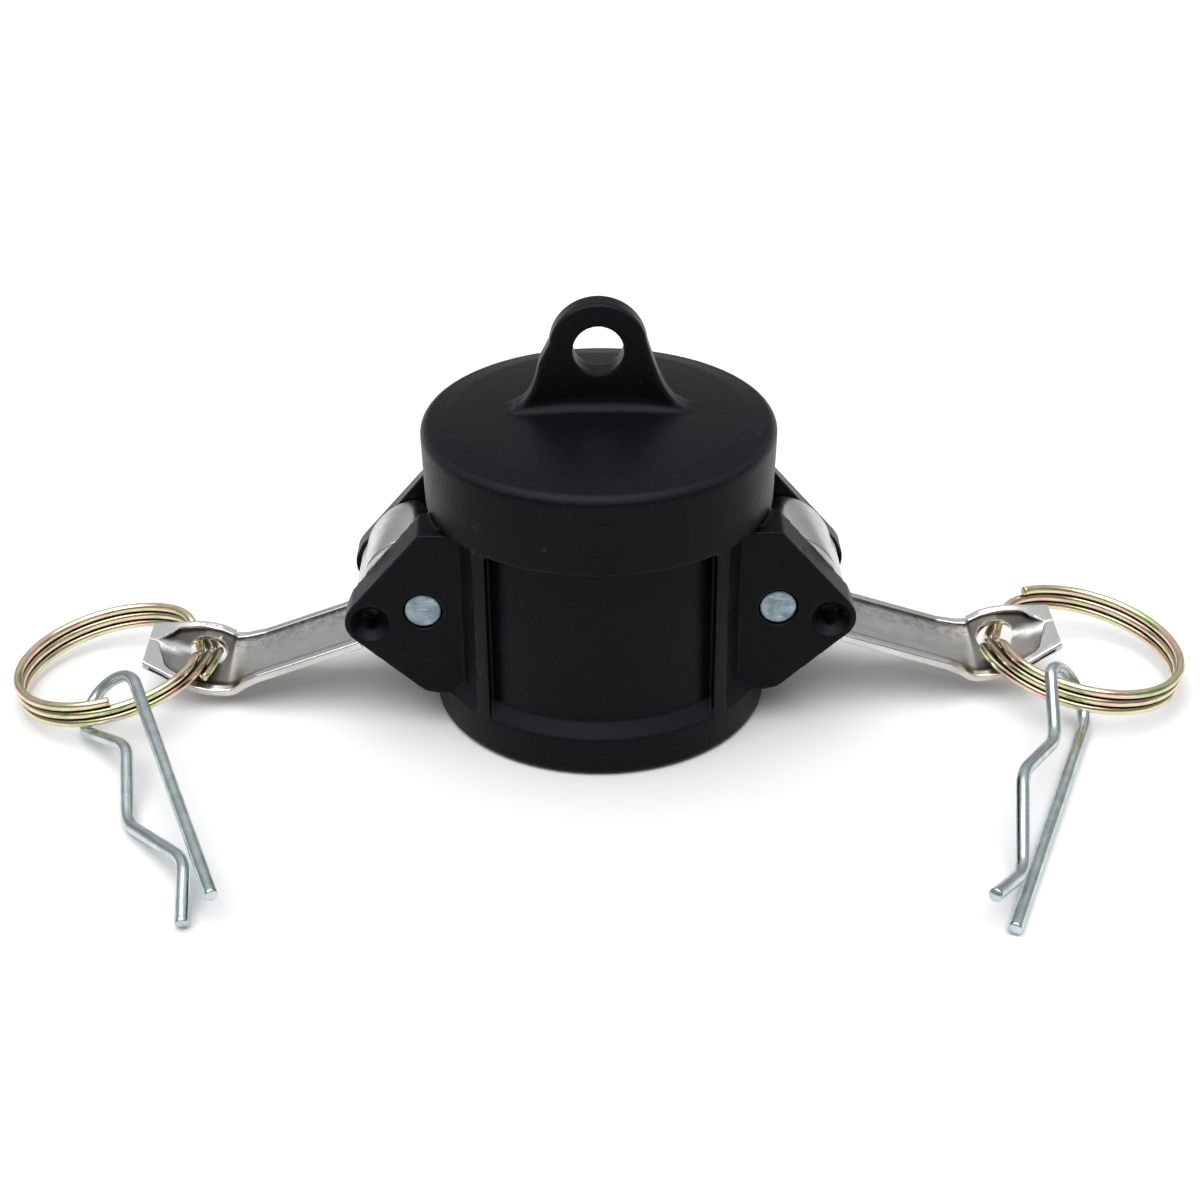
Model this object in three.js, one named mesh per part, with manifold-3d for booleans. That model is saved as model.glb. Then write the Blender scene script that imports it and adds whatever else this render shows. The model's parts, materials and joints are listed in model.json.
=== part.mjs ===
// Cam-lock dust cap, nominal 2 inch (DN 50): a moulded cap with two cam levers, each carrying a split ring and
// a hairpin safety clip. Millimetres, +Z up, the socket opening downwards and its axis on Z. Heights in this
// file are measured up from the mouth; the finished part is lowered so that its origin is the centre of the
// closed end's inner face.

import * as THREE from "three";
import Module from "manifold-3d";
import { mergeVertices } from "three/addons/utils/BufferGeometryUtils.js";

const wasm = await Module();
wasm.setup();

const GAP = 0.3;
const ROUND_SEGMENTS = 72;
const WIRE_SIDES = 10;

// Cap body
const SOCKET_R = 31.75;
const MOUTH_CHAMFER = 1.0;
const WALL_R = 34.9;
const FLANGE_R = 37.5;
const FLANGE_H = 9.2;
const SHOULDER_TOP = 12.8;
const BAND_BOTTOM = 50.0;
const BAND_BOTTOM_R = 38.1;
const BAND_TOP_R = 38.5;
const TOP_EDGE = 68.3;
const TOP_FILLET = 2.5;
const DOME_TOP = 71.0;
const CLOSED_FACE = 60.5;
const CLOSED_FACE_R = 23.0;
const GASKET_SEAT = 59.0;
const GASKET_GROOVE_R = 33.8;
const GASKET_GROOVE_BOTTOM = 52.4;

// Gasket
const GASKET_R = 33.35;
const GASKET_BORE_R = 25.4;
const GASKET_H = 6.0;

// Ribs between the base flange and the band
const RIB_X = 25.75;
const RIB_W = 2.9;

// Ears that carry the lever pins
const EAR_INNER_Y = 9.6;
const EAR_OUTER_Y = 17.4;
const EAR_DRAFT_RISE = 1.6;
const EAR_ROOT_X = 24.0;
const EAR_FOOT_Z = 8.8;
const EAR_FOOT_X = 36.4;
const EAR_TIP_R = 5.6;
const EAR_SHOULDER_X = 38.9;
const EAR_SHOULDER_Z = 48.5;
const CAM_WINDOW_NEAR_X = 22.75;
const CAM_WINDOW_FAR_X = 58.7;
const CAM_WINDOW_HEADROOM = 2.5;

// Lever pins and the holes for the safety clips
const PIN_X = 38.7;
const PIN_Z = 29.9;
const PIN_R = 4.0;
const PIN_HALF_LENGTH = 17.0;
const CLIP_HOLE_X = 50.3;
const CLIP_HOLE_Z = 26.9;
const CLIP_HOLE_R = 2.5;
const CLIP_HOLE_SINK_R = 4.7;

// Lifting lug on top. Its sides rise from the foot, curve through the sweep and run up the waist to the head.
const LUG_BOTTOM = 66.0;
const LUG_FOOT_Z = 69.4;
const LUG_SWEEP_X = 16.0;
const LUG_SWEEP_Z = 70.5;
const LUG_WAIST_X = 12.6;
const LUG_WAIST_Z = 81.5;
const LUG_TOP = 95.0;
const LUG_HOLE_Z = 84.5;
const LUG_HOLE_R = 5.4;
const LUG_T = 5.8;
const LUG_HEAD_R = LUG_TOP - LUG_HOLE_Z;
const LUG_HEAD_FROM = 0.12;
const LUG_FOOT_X = 24.0;

// Levers. The lever frame has its origin on the pin, s along the arm and n towards the arm's inner face.
const HEAD_W = 18.3;
const CAM_R = 14.3;
const CAM_FROM = THREE.MathUtils.degToRad(32);
const CAM_TO = THREE.MathUtils.degToRad(94);
const HEEL_R = 15.8;
const HEEL_AT = THREE.MathUtils.degToRad(11);
const HUB_R = 8.0;
const HUB_FROM = THREE.MathUtils.degToRad(-122);
const ARM_ROOT_OVERLAP = 2.0;
const ARM_INNER_N = -5.73;
const ARM_T = 2.0;
const ARM_START_S = 18.3;
const ARM_BEND_S = 51.0;
const ARM_BEND_R = 2.5;
const ARM_BEND_D = ARM_BEND_S - ARM_START_S;
const TIP_RISE = THREE.MathUtils.degToRad(36);
const TIP_LENGTH = 19.4;
const ARM_LENGTH = ARM_BEND_D + TIP_LENGTH - 0.25;
const TIP_TWIST = THREE.MathUtils.degToRad(19);
const RING_HOLE_R = 4.2;
const RING_HOLE_FROM_BEND = 5.85;
const RING_HOLE_SIDE = 1.9;
const HEM_SLOT = 0.5;
const HEM_SLOT_BOTTOM = -1.3;
const HEM_SLOT_DEPTH = 1.5;
const HEM_SLOT_LENGTH = 8.5;
const HEM_SLOT_FROM_END = 1.4;

// Split rings. Angles here are in degrees round the coil from its point nearest the cap, positive towards +y.
// The turns lie side by side about the nest angle, and the coil drops through the hole about the dip angle.
const RING_R = 21.6;
const RING_WIRE_R = 1.0;
const RING_PITCH = 2.15;
const RING_TURNS = 2.83;
const RING_TILT = THREE.MathUtils.degToRad(9.0);
const RING_NEST_AT = 8;
const RING_NEST_WIDTH = 24;
const RING_NEST_SHIFT = 0.4;
const RING_DIP = 3.9;
const RING_DIP_AT = 18;
const RING_DIP_WIDTH = 18;

// Safety clips. The waved leg is given by its corners: distance along the straight leg, then distance from it.
const CLIP_WIRE_R = 1.4;
const CLIP_LEG = 72.0;
const CLIP_BOW_R = 7.8;
const CLIP_CORNER_ROUNDING = 3.5;
const CLIP_WAVE = [
  [57.0, 7.2],
  [36.2, 13.0],
  [14.2, 3.1],
  [0.0, 8.3],
];

// The two sides differ only in how far each lever hangs open and in how the loose ring and clip lie.
const SIDES = [
  {
    name: "left",
    outward: -1,
    openSlope: THREE.MathUtils.degToRad(20.0),
    ringCentre: new THREE.Vector3(-111.5, -1.8, 7.8),
    ringStart: THREE.MathUtils.degToRad(-80),
    clipEnd: new THREE.Vector3(-76.4, -85.6, 7.2),
    clipAlong: new THREE.Vector3(-0.37, 0.93, 0.085),
    clipAcross: new THREE.Vector3(-0.74, -0.23, -0.67),
  },
  {
    name: "right",
    outward: 1,
    openSlope: THREE.MathUtils.degToRad(18.0),
    ringCentre: new THREE.Vector3(111.1, -2.0, 9.0),
    ringStart: THREE.MathUtils.degToRad(122),
    clipEnd: new THREE.Vector3(79.0, -91.8, 1.6),
    clipAlong: new THREE.Vector3(0.38, 0.92, 0.01),
    clipAcross: new THREE.Vector3(-0.50, 0.20, 0.84),
  },
];

// Booleans

// Six times the signed volume: negative when the faces point inwards
function signedVolume(position, index) {
  const corner = [new THREE.Vector3(), new THREE.Vector3(), new THREE.Vector3()];
  let total = 0;
  for (let i = 0; i < index.count; i += 3) {
    corner.forEach((p, k) => p.fromBufferAttribute(position, index.getX(i + k)));
    total += corner[0].dot(corner[1].cross(corner[2]));
  }
  return total;
}

function toSolid(geometry) {
  const bare = geometry.clone();
  bare.deleteAttribute("normal");
  bare.deleteAttribute("uv");
  const merged = mergeVertices(bare, 1e-5);
  const inwards = signedVolume(merged.attributes.position, merged.index) < 0;
  const faces = [...merged.index.array];
  const mesh = new wasm.Mesh({
    numProp: 3,
    vertProperties: new Float32Array(merged.attributes.position.array),
    triVerts: new Uint32Array(inwards ? faces.reverse() : faces),
  });
  return new wasm.Manifold(mesh);
}

function toGeometry(solid) {
  const mesh = solid.getMesh();
  const geometry = new THREE.BufferGeometry();
  geometry.setAttribute("position", new THREE.BufferAttribute(new Float32Array(mesh.vertProperties), 3));
  geometry.setIndex(new THREE.BufferAttribute(new Uint32Array(mesh.triVerts), 1));
  geometry.computeVertexNormals();
  return geometry;
}

// Basic solids

function turned(points, segments = ROUND_SEGMENTS) {
  const geometry = new THREE.LatheGeometry(points, segments);
  geometry.rotateX(Math.PI / 2);
  return toSolid(geometry);
}

function box(x0, x1, y0, y1, z0, z1) {
  const geometry = new THREE.BoxGeometry(x1 - x0, y1 - y0, z1 - z0);
  geometry.translate((x0 + x1) / 2, (y0 + y1) / 2, (z0 + z1) / 2);
  return toSolid(geometry);
}

// A cylinder lying along Y, centred on y = 0
function crossRod(x, z, radius, length, segments = 40) {
  const geometry = new THREE.CylinderGeometry(radius, radius, length, segments);
  geometry.translate(x, 0, z);
  return toSolid(geometry);
}

// A solid through a row of closed outlines with equal numbers of points, with flat ends
function lofted(outlines, endShape) {
  const count = outlines[0].length;
  const positions = outlines.flat().flatMap((p) => [p.x, p.y, p.z]);
  const index = [];
  for (let ring = 0; ring < outlines.length - 1; ring++) {
    for (let i = 0; i < count; i++) {
      const a = ring * count + i;
      const b = ring * count + ((i + 1) % count);
      index.push(a, b, b + count, a, b + count, a + count);
    }
  }
  const last = (outlines.length - 1) * count;
  const clockwise = THREE.ShapeUtils.isClockWise(endShape);
  for (const face of THREE.ShapeUtils.triangulateShape(endShape, [])) {
    const [a, b, c] = clockwise ? face.toReversed() : face;
    index.push(a, c, b);
    index.push(last + a, last + b, last + c);
  }
  const geometry = new THREE.BufferGeometry();
  geometry.setAttribute("position", new THREE.Float32BufferAttribute(positions, 3));
  geometry.setIndex(index);
  return toSolid(geometry);
}

// A plate lying in the XZ plane, centred on y = 0, with softened edges
function plate(outline, thickness, bevel, curveSegments) {
  const points = outline.getPoints(curveSegments);
  const spaced = points.filter((p, i) => p.distanceTo(points[(i + 1) % points.length]) > 0.05);
  const options = {
    depth: thickness - 2 * bevel,
    bevelThickness: bevel,
    bevelSize: bevel,
    bevelOffset: -bevel,
    bevelSegments: 2,
  };
  const geometry = new THREE.ExtrudeGeometry(new THREE.Shape(spaced), options);
  geometry.translate(0, 0, -thickness / 2 + bevel);
  geometry.rotateX(Math.PI / 2);
  return toSolid(geometry);
}

// A round wire swept along a curve
function wire(curve, radius, steps) {
  const section = new THREE.Shape();
  section.absarc(0, 0, radius, 0, 2 * Math.PI);
  const options = { steps, extrudePath: curve, curveSegments: WIRE_SIDES / 2 };
  return toSolid(new THREE.ExtrudeGeometry(section, options));
}

// Cap body

function arcPoints(cx, cy, radius, from, to, steps) {
  const points = [];
  for (let i = 0; i <= steps; i++) {
    const angle = from + ((to - from) * i) / steps;
    points.push(new THREE.Vector2(cx + radius * Math.cos(angle), cy + radius * Math.sin(angle)));
  }
  return points;
}

function capShell() {
  const rise = DOME_TOP - TOP_EDGE;
  const domeR = (BAND_TOP_R ** 2 + rise ** 2) / (2 * rise);
  const edgeR = BAND_TOP_R - TOP_FILLET;
  const domeStart = Math.acos(edgeR / domeR);
  const points = [
    new THREE.Vector2(0, CLOSED_FACE),
    new THREE.Vector2(CLOSED_FACE_R, CLOSED_FACE),
    new THREE.Vector2(CLOSED_FACE_R, GASKET_SEAT),
    new THREE.Vector2(GASKET_GROOVE_R, GASKET_SEAT),
    new THREE.Vector2(GASKET_GROOVE_R, GASKET_GROOVE_BOTTOM),
    new THREE.Vector2(SOCKET_R, GASKET_GROOVE_BOTTOM),
    new THREE.Vector2(SOCKET_R, MOUTH_CHAMFER),
    new THREE.Vector2(SOCKET_R + MOUTH_CHAMFER, 0),
    new THREE.Vector2(FLANGE_R - 1, 0),
    new THREE.Vector2(FLANGE_R, 1),
    new THREE.Vector2(FLANGE_R, FLANGE_H),
    new THREE.Vector2(WALL_R, SHOULDER_TOP),
    new THREE.Vector2(WALL_R, BAND_BOTTOM),
    new THREE.Vector2(BAND_BOTTOM_R, BAND_BOTTOM),
    ...arcPoints(edgeR, TOP_EDGE - TOP_FILLET, TOP_FILLET, 0, Math.PI / 2, 5),
    ...arcPoints(0, DOME_TOP - domeR, domeR, domeStart + 0.015, Math.PI / 2, 6),
  ];
  points[points.length - 1].x = 0;
  return turned(points);
}

// The ear's side outline, from its foot on the base flange round the tip to the band, raised for the draft
function earOutline(rise) {
  const deg = THREE.MathUtils.degToRad;
  const tip = arcPoints(CLIP_HOLE_X, CLIP_HOLE_Z, EAR_TIP_R, deg(-38), deg(44), 5);
  tip[tip.length - 1].y += rise / 2;
  return [
    new THREE.Vector2(EAR_ROOT_X, EAR_FOOT_Z),
    new THREE.Vector2(EAR_FOOT_X, EAR_FOOT_Z),
    new THREE.Vector2(EAR_FOOT_X + 2.8, EAR_FOOT_Z + 0.6),
    ...tip,
    new THREE.Vector2(EAR_SHOULDER_X, EAR_SHOULDER_Z + rise),
    new THREE.Vector2(EAR_SHOULDER_X - 5.9, EAR_SHOULDER_Z + rise),
    new THREE.Vector2(EAR_ROOT_X, BAND_BOTTOM + 0.5),
  ];
}

function ear(outward, front) {
  const inner = earOutline(EAR_DRAFT_RISE);
  const outer = earOutline(0);
  const place = (outline, y) => outline.map((p) => new THREE.Vector3(outward * p.x, front * y, p.y));
  return lofted([place(inner, EAR_INNER_Y), place(outer, EAR_OUTER_Y)], inner);
}

function rib(side, front) {
  const x = side * RIB_X;
  const y0 = front > 0 ? 20 : -36;
  const block = box(x - RIB_W / 2, x + RIB_W / 2, y0, y0 + 16, FLANGE_H - 1, BAND_BOTTOM + 1);
  const limit = turned([
    new THREE.Vector2(0, 0),
    new THREE.Vector2(FLANGE_R - 0.1, 0),
    new THREE.Vector2(BAND_BOTTOM_R - 0.1, BAND_BOTTOM + 2),
    new THREE.Vector2(0, BAND_BOTTOM + 2),
  ]);
  return block.intersect(limit);
}

function lug() {
  const shape = new THREE.Shape();
  const sweepTop = [LUG_SWEEP_X - 1.8, LUG_SWEEP_Z + 3];
  shape.moveTo(-LUG_FOOT_X, LUG_BOTTOM);
  shape.lineTo(-LUG_FOOT_X, LUG_FOOT_Z);
  shape.bezierCurveTo(-LUG_SWEEP_X, LUG_SWEEP_Z, -sweepTop[0], sweepTop[1], -LUG_WAIST_X, LUG_WAIST_Z);
  shape.absarc(0, LUG_HOLE_Z, LUG_HEAD_R, Math.PI - LUG_HEAD_FROM, LUG_HEAD_FROM, true);
  shape.bezierCurveTo(sweepTop[0], sweepTop[1], LUG_SWEEP_X, LUG_SWEEP_Z, LUG_FOOT_X, LUG_FOOT_Z);
  shape.lineTo(LUG_FOOT_X, LUG_BOTTOM);
  return plate(shape, LUG_T, 0.8, 14);
}

// The opening between the ears through which the cam reaches the bore
function camWindow(outward) {
  const near = outward * CAM_WINDOW_NEAR_X;
  const far = outward * CAM_WINDOW_FAR_X;
  const x0 = Math.min(near, far);
  const x1 = Math.max(near, far);
  return box(x0, x1, -EAR_INNER_Y, EAR_INNER_Y, SHOULDER_TOP, BAND_BOTTOM - CAM_WINDOW_HEADROOM);
}

function clipHoleSink(outward, front) {
  const depth = CLIP_HOLE_SINK_R - CLIP_HOLE_R;
  const geometry = new THREE.CylinderGeometry(CLIP_HOLE_SINK_R, CLIP_HOLE_R, depth + 0.2, 32);
  geometry.scale(1, front, 1);
  geometry.translate(outward * CLIP_HOLE_X, front * (EAR_OUTER_Y - depth / 2 + 0.1), CLIP_HOLE_Z);
  return toSolid(geometry);
}

function capBody() {
  let body = capShell();
  for (const side of [-1, 1]) {
    for (const front of [-1, 1]) {
      body = body.add(ear(side, front)).add(rib(side, front));
    }
  }
  const bore = turned([
    new THREE.Vector2(0, -1),
    new THREE.Vector2(SOCKET_R, -1),
    new THREE.Vector2(SOCKET_R, GASKET_GROOVE_BOTTOM),
    new THREE.Vector2(0, GASKET_GROOVE_BOTTOM),
  ]);
  body = body.subtract(bore).add(lug());
  body = body.subtract(crossRod(0, LUG_HOLE_Z, LUG_HOLE_R, 20, 48));
  for (const side of [-1, 1]) {
    body = body.subtract(camWindow(side));
    body = body.subtract(crossRod(side * PIN_X, PIN_Z, PIN_R + GAP, 60));
    body = body.subtract(crossRod(side * CLIP_HOLE_X, CLIP_HOLE_Z, CLIP_HOLE_R, 60, 32));
    for (const front of [-1, 1]) {
      body = body.subtract(clipHoleSink(side, front));
    }
  }
  return body;
}

function gasket() {
  const top = GASKET_SEAT - GAP;
  const bottom = top - GASKET_H;
  return turned([
    new THREE.Vector2(GASKET_BORE_R, bottom),
    new THREE.Vector2(GASKET_R, bottom),
    new THREE.Vector2(GASKET_R, top),
    new THREE.Vector2(GASKET_BORE_R, top),
    new THREE.Vector2(GASKET_BORE_R, bottom),
  ]);
}

function leverPin(outward) {
  const chamfer = 0.5;
  const points = [
    new THREE.Vector2(0, -PIN_HALF_LENGTH),
    new THREE.Vector2(PIN_R - chamfer, -PIN_HALF_LENGTH),
    new THREE.Vector2(PIN_R, -PIN_HALF_LENGTH + chamfer),
    new THREE.Vector2(PIN_R, PIN_HALF_LENGTH - chamfer),
    new THREE.Vector2(PIN_R - chamfer, PIN_HALF_LENGTH),
    new THREE.Vector2(0, PIN_HALF_LENGTH),
  ];
  const geometry = new THREE.LatheGeometry(points, 40);
  geometry.translate(outward * PIN_X, 0, PIN_Z);
  return toSolid(geometry);
}

// Levers

// The cam's outline in the lever frame: hub, arm root, heel, eccentric lobe and the flat that faces the bore
function camOutline() {
  const rootS = ARM_START_S + ARM_ROOT_OVERLAP;
  const heel = [HEEL_R * Math.cos(HEEL_AT), HEEL_R * Math.sin(HEEL_AT)];
  const lobe = [CAM_R * Math.cos(CAM_FROM), CAM_R * Math.sin(CAM_FROM)];
  const outline = new THREE.Shape();
  outline.absarc(0, 0, HUB_R, HUB_FROM, -Math.PI / 2, false);
  outline.lineTo(rootS, ARM_INNER_N - ARM_T);
  outline.lineTo(rootS, ARM_INNER_N);
  outline.bezierCurveTo(16.4, -5.2, 16.0, -1.0, ...heel);
  outline.bezierCurveTo(15.0, 4.6, 14.2, 6.0, ...lobe);
  outline.absarc(0, 0, CAM_R, CAM_FROM, CAM_TO, false);
  outline.bezierCurveTo(-2.6, 14.1, -3.4, 13.2, -3.8, 11.9);
  outline.lineTo(-7.2, 1.6);
  return outline;
}

function camHead() {
  return plate(camOutline(), HEAD_W, 0.6, 8);
}

// A point on the arm's inner centreline at distance d from its root, with the arm's direction there
function armAt(d) {
  const lead = ARM_BEND_D - ARM_BEND_R * Math.tan(TIP_RISE / 2);
  const arc = ARM_BEND_R * TIP_RISE;
  if (d <= lead) {
    return { s: ARM_START_S + d, n: ARM_INNER_N, angle: 0 };
  }
  const angle = Math.min(d - lead, arc) / ARM_BEND_R;
  const beyond = Math.max(d - lead - arc, 0);
  const s = ARM_START_S + lead + ARM_BEND_R * Math.sin(angle) + beyond * Math.cos(angle);
  const n = ARM_INNER_N + ARM_BEND_R * (1 - Math.cos(angle)) + beyond * Math.sin(angle);
  return { s, n, angle };
}

// The arm's shape at distances d from its root: half width, widths of the two rims, depth of the web, height
// and place of the crease that rises from the web, and how much of the tip's twist is reached
const STATION_KEYS = ["d", "halfWidth", "nearRim", "farRim", "web", "crest", "crestAt", "twist"];
const ARM_STATIONS = [
  [0, 10.6, 1.4, 1.4, 0.6, 0, 0, 0],
  [ARM_BEND_D - 7, 10.6, 1.4, 1.4, 0.6, 0, 0, 0],
  [ARM_BEND_D - 3, 9.9, 1.4, 1.4, 0.6, 0, 0, 0.3],
  [ARM_BEND_D - 1, 9.6, 1.4, 1.4, 0.6, 0, 0, 0.6],
  [ARM_BEND_D + 1, 9.7, 1.4, 1.4, 0.6, 0, 0, 0.85],
  [ARM_BEND_D + 4, 10.0, 1.4, 1.4, 0.6, 0, 0, 1],
  [ARM_BEND_D + 7, 10.0, 1.3, 1.4, 0.75, 0.1, 0.8, 1],
  [ARM_BEND_D + 10, 9.4, 1.2, 1.4, 0.9, 0.3, 1.0, 1],
  [ARM_BEND_D + 13.4, 8.6, 1.4, 1.6, 0.9, 0.45, 1.1, 0.83],
  [ARM_BEND_D + 14.7, 8.2, 1.9, 3.0, 0.8, 0.4, 1.15, 0.75],
  [ARM_BEND_D + 17.4, 7.6, 7.65, 5.35, 0.06, 0.03, 1.15, 0.6],
  [ARM_LENGTH, 7.2, 7.3, 5.0, 0.05, 0.02, 1.15, 0.5],
].map((row) => Object.fromEntries(STATION_KEYS.map((key, i) => [key, row[i]])));

function stationAt(d) {
  const next = ARM_STATIONS.findIndex((station) => station.d >= d);
  const [a, b] = [ARM_STATIONS[next - 1], ARM_STATIONS[next]];
  const t = (d - a.d) / (b.d - a.d);
  return Object.fromEntries(STATION_KEYS.map((key) => [key, THREE.MathUtils.lerp(a[key], b[key], t)]));
}

// The arm's cross-section: a plate with raised rims round a shallow web, the far rim on the positive side
function armSection({ halfWidth, nearRim, farRim, web, crest, crestAt }) {
  const edge = 0.5;
  const half = (rim) => [
    new THREE.Vector2(halfWidth - edge, -ARM_T),
    new THREE.Vector2(halfWidth, -ARM_T + edge),
    new THREE.Vector2(halfWidth, -edge),
    new THREE.Vector2(halfWidth - edge, 0),
    new THREE.Vector2(halfWidth - edge - rim, 0),
    new THREE.Vector2(halfWidth - edge - rim - 0.4, -web),
  ];
  const near = half(nearRim).map((p) => new THREE.Vector2(-p.x, p.y));
  return [...half(farRim), new THREE.Vector2(crestAt, -web + crest), ...near.reverse()];
}

function armPoint(d, side, height, twist) {
  const at = armAt(d);
  const roll = twist * TIP_TWIST;
  const across = side * Math.cos(roll) - height * Math.sin(roll);
  const up = side * Math.sin(roll) + height * Math.cos(roll);
  return new THREE.Vector3(at.s - up * Math.sin(at.angle), across, at.n + up * Math.cos(at.angle));
}

function arm() {
  const outlines = ARM_STATIONS.map((station) =>
    armSection(station).map((p) => armPoint(station.d, p.x, p.y, station.twist)),
  );
  return lofted(outlines, armSection(ARM_STATIONS[0]));
}

// The slot along one edge of the tip, between the two layers where the sheet is folded back
function hemSlot(edge) {
  const far = ARM_LENGTH - HEM_SLOT_FROM_END;
  const steps = 6;
  const section = (halfWidth) => [
    new THREE.Vector2(halfWidth - HEM_SLOT_DEPTH, HEM_SLOT_BOTTOM),
    new THREE.Vector2(halfWidth + 1, HEM_SLOT_BOTTOM),
    new THREE.Vector2(halfWidth + 1, HEM_SLOT_BOTTOM + HEM_SLOT),
    new THREE.Vector2(halfWidth - HEM_SLOT_DEPTH, HEM_SLOT_BOTTOM + HEM_SLOT),
  ];
  const outlines = [];
  for (let i = 0; i <= steps; i++) {
    const d = far - (HEM_SLOT_LENGTH * i) / steps;
    const { halfWidth, twist } = stationAt(d);
    outlines.push(section(halfWidth).map((p) => armPoint(d, edge * p.x, p.y, twist)));
  }
  return lofted(outlines, section(0));
}

function ringHole() {
  const geometry = new THREE.CylinderGeometry(RING_HOLE_R, RING_HOLE_R, 12, 32);
  geometry.rotateX(Math.PI / 2);
  geometry.rotateX(TIP_TWIST);
  geometry.rotateY(-TIP_RISE);
  const centre = armPoint(ARM_BEND_D + RING_HOLE_FROM_BEND, RING_HOLE_SIDE, -ARM_T / 2, 1);
  geometry.translate(centre.x, centre.y, centre.z);
  return toSolid(geometry);
}

// Carries a solid from the lever frame to its place on one side, at a given slope below the horizontal
function placeLever(solid, side) {
  const cos = Math.cos(side.openSlope);
  const sin = Math.sin(side.openSlope);
  const matrix = new THREE.Matrix4().set(
    side.outward * cos, 0, side.outward * sin, side.outward * PIN_X,
    0, 1, 0, 0,
    -sin, 0, cos, PIN_Z,
    0, 0, 0, 1,
  );
  return solid.transform(matrix.elements);
}

function lever(side) {
  let solid = camHead().add(arm());
  solid = solid.subtract(crossRod(0, 0, PIN_R + GAP, 60));
  solid = solid.subtract(ringHole()).subtract(hemSlot(-1)).subtract(hemSlot(1));
  return placeLever(solid, side);
}

// The coil of a split ring, wound clockwise and downwards as seen from above
class RingPath extends THREE.Curve {
  constructor(side) {
    super();
    this.side = side;
  }

  getPoint(t, target = new THREE.Vector3()) {
    const swept = 2 * Math.PI * RING_TURNS * t;
    const angle = this.side.ringStart - swept;
    const level = RING_TURNS / 2 - RING_TURNS * t;
    const fromHole = Math.atan2(Math.sin(angle), -this.side.outward * Math.cos(angle));
    const degrees = THREE.MathUtils.radToDeg(fromHole);
    const nest = (Math.PI / 2) * Math.exp(-(((degrees - RING_NEST_AT) / RING_NEST_WIDTH) ** 2));
    const dip = RING_DIP * Math.exp(-(((degrees - RING_DIP_AT) / RING_DIP_WIDTH) ** 2));
    const up = level * RING_PITCH * Math.cos(nest) - dip;
    const radius = RING_R - (level + RING_NEST_SHIFT) * RING_PITCH * Math.sin(nest);
    target.set(radius * Math.cos(angle), radius * Math.sin(angle), up);
    target.applyAxisAngle(new THREE.Vector3(0, 1, 0), this.side.outward * RING_TILT);
    return target.add(this.side.ringCentre);
  }
}

function splitRing(side) {
  return wire(new RingPath(side), RING_WIRE_R, 132);
}

// Safety clips: a straight leg, a half-round bow and a waved spring leg

// Straight runs joined by rounded corners, each corner taking the same length off both runs
function roundedRun(path, corners, rounding) {
  for (let i = 1; i < corners.length - 1; i++) {
    const corner = corners[i];
    const before = corners[i - 1].clone().sub(corner).setLength(rounding).add(corner);
    const after = corners[i + 1].clone().sub(corner).setLength(rounding).add(corner);
    path.lineTo(before.x, before.y);
    path.quadraticCurveTo(corner.x, corner.y, after.x, after.y);
  }
  const end = corners[corners.length - 1];
  path.lineTo(end.x, end.y);
}

function clipOutline() {
  const path = new THREE.Path();
  path.moveTo(0, 0);
  path.lineTo(CLIP_LEG, 0);
  path.absarc(CLIP_LEG, CLIP_BOW_R, CLIP_BOW_R, -Math.PI / 2, Math.PI / 2, false);
  const bowEnd = new THREE.Vector2(CLIP_LEG, 2 * CLIP_BOW_R);
  const wave = CLIP_WAVE.map(([along, away]) => new THREE.Vector2(along, away));
  roundedRun(path, [bowEnd, ...wave], CLIP_CORNER_ROUNDING);
  return path;
}

class ClipPath extends THREE.Curve {
  constructor(side) {
    super();
    this.outline = clipOutline();
    this.origin = side.clipEnd;
    this.along = side.clipAlong.clone().normalize();
    const normal = new THREE.Vector3().crossVectors(this.along, side.clipAcross).normalize();
    this.across = new THREE.Vector3().crossVectors(normal, this.along);
  }

  getPoint(t, target = new THREE.Vector3()) {
    const p = this.outline.getPointAt(t);
    return target.copy(this.origin).addScaledVector(this.along, p.x).addScaledVector(this.across, p.y);
  }
}

function safetyClip(side) {
  return wire(new ClipPath(side), CLIP_WIRE_R, 84);
}

// Materials

function blackPolymer() {
  return new THREE.MeshStandardMaterial({ color: 0x1c1d1f, roughness: 0.55, metalness: 0.0 });
}

function blackRubber() {
  return new THREE.MeshStandardMaterial({ color: 0x141414, roughness: 0.85, metalness: 0.0 });
}

function stainlessSteel() {
  return new THREE.MeshStandardMaterial({ color: 0x9c9890, roughness: 0.35, metalness: 1.0 });
}

function zincPlate() {
  return new THREE.MeshStandardMaterial({ color: 0xa9b6bd, roughness: 0.3, metalness: 1.0 });
}

function yellowZincPlate() {
  return new THREE.MeshStandardMaterial({ color: 0xb9a468, roughness: 0.28, metalness: 1.0 });
}

// Assembly

function node(name, solid, material) {
  const geometry = toGeometry(solid);
  geometry.translate(0, 0, -CLOSED_FACE);
  const mesh = new THREE.Mesh(geometry, material);
  mesh.name = name;
  return mesh;
}

function assembly() {
  const group = new THREE.Group();
  group.name = "camlock_dust_cap";
  group.add(node("cap_body", capBody(), blackPolymer()));
  group.add(node("gasket", gasket(), blackRubber()));
  for (const side of SIDES) {
    group.add(node(`lever_pin_${side.name}`, leverPin(side.outward), zincPlate()));
    group.add(node(`lever_${side.name}`, lever(side), stainlessSteel()));
    group.add(node(`split_ring_${side.name}`, splitRing(side), yellowZincPlate()));
    group.add(node(`safety_clip_${side.name}`, safetyClip(side), zincPlate()));
  }
  return group;
}

export default assembly();
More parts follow.
